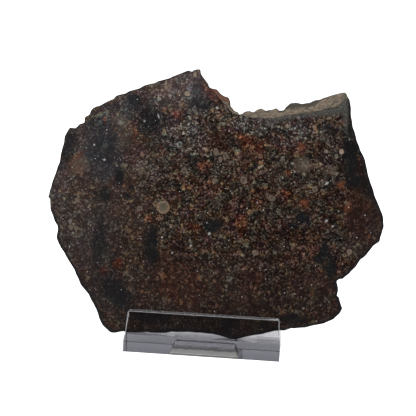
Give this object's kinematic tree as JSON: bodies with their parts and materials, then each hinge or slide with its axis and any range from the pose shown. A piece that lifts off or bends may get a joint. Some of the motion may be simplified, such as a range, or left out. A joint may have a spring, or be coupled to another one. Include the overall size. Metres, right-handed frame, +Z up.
{
  "type": "chondrite meteorite slice on display easel",
  "caption": "Cut and polished slab of a stony meteorite with a rough broken rim, leaning back in a small clear plastic easel made of lip, shelf, back rest and prop.",
  "frame": {"origin": "on the ground, in the middle of the whole footprint", "axes": "+X to the right of the polished face, -Y the way the polished face looks, +Z up"},
  "size_m": [0.1036, 0.0418, 0.0845],
  "materials": {
    "chondrite_stone": "polished face, rough weathered rim",
    "clear_plastic": "clear, polished"
  },
  "bodies": {
    "root": {"meteorite_slice": "chondrite_stone", "display_easel": "clear_plastic"}
  },
  "joints": []
}
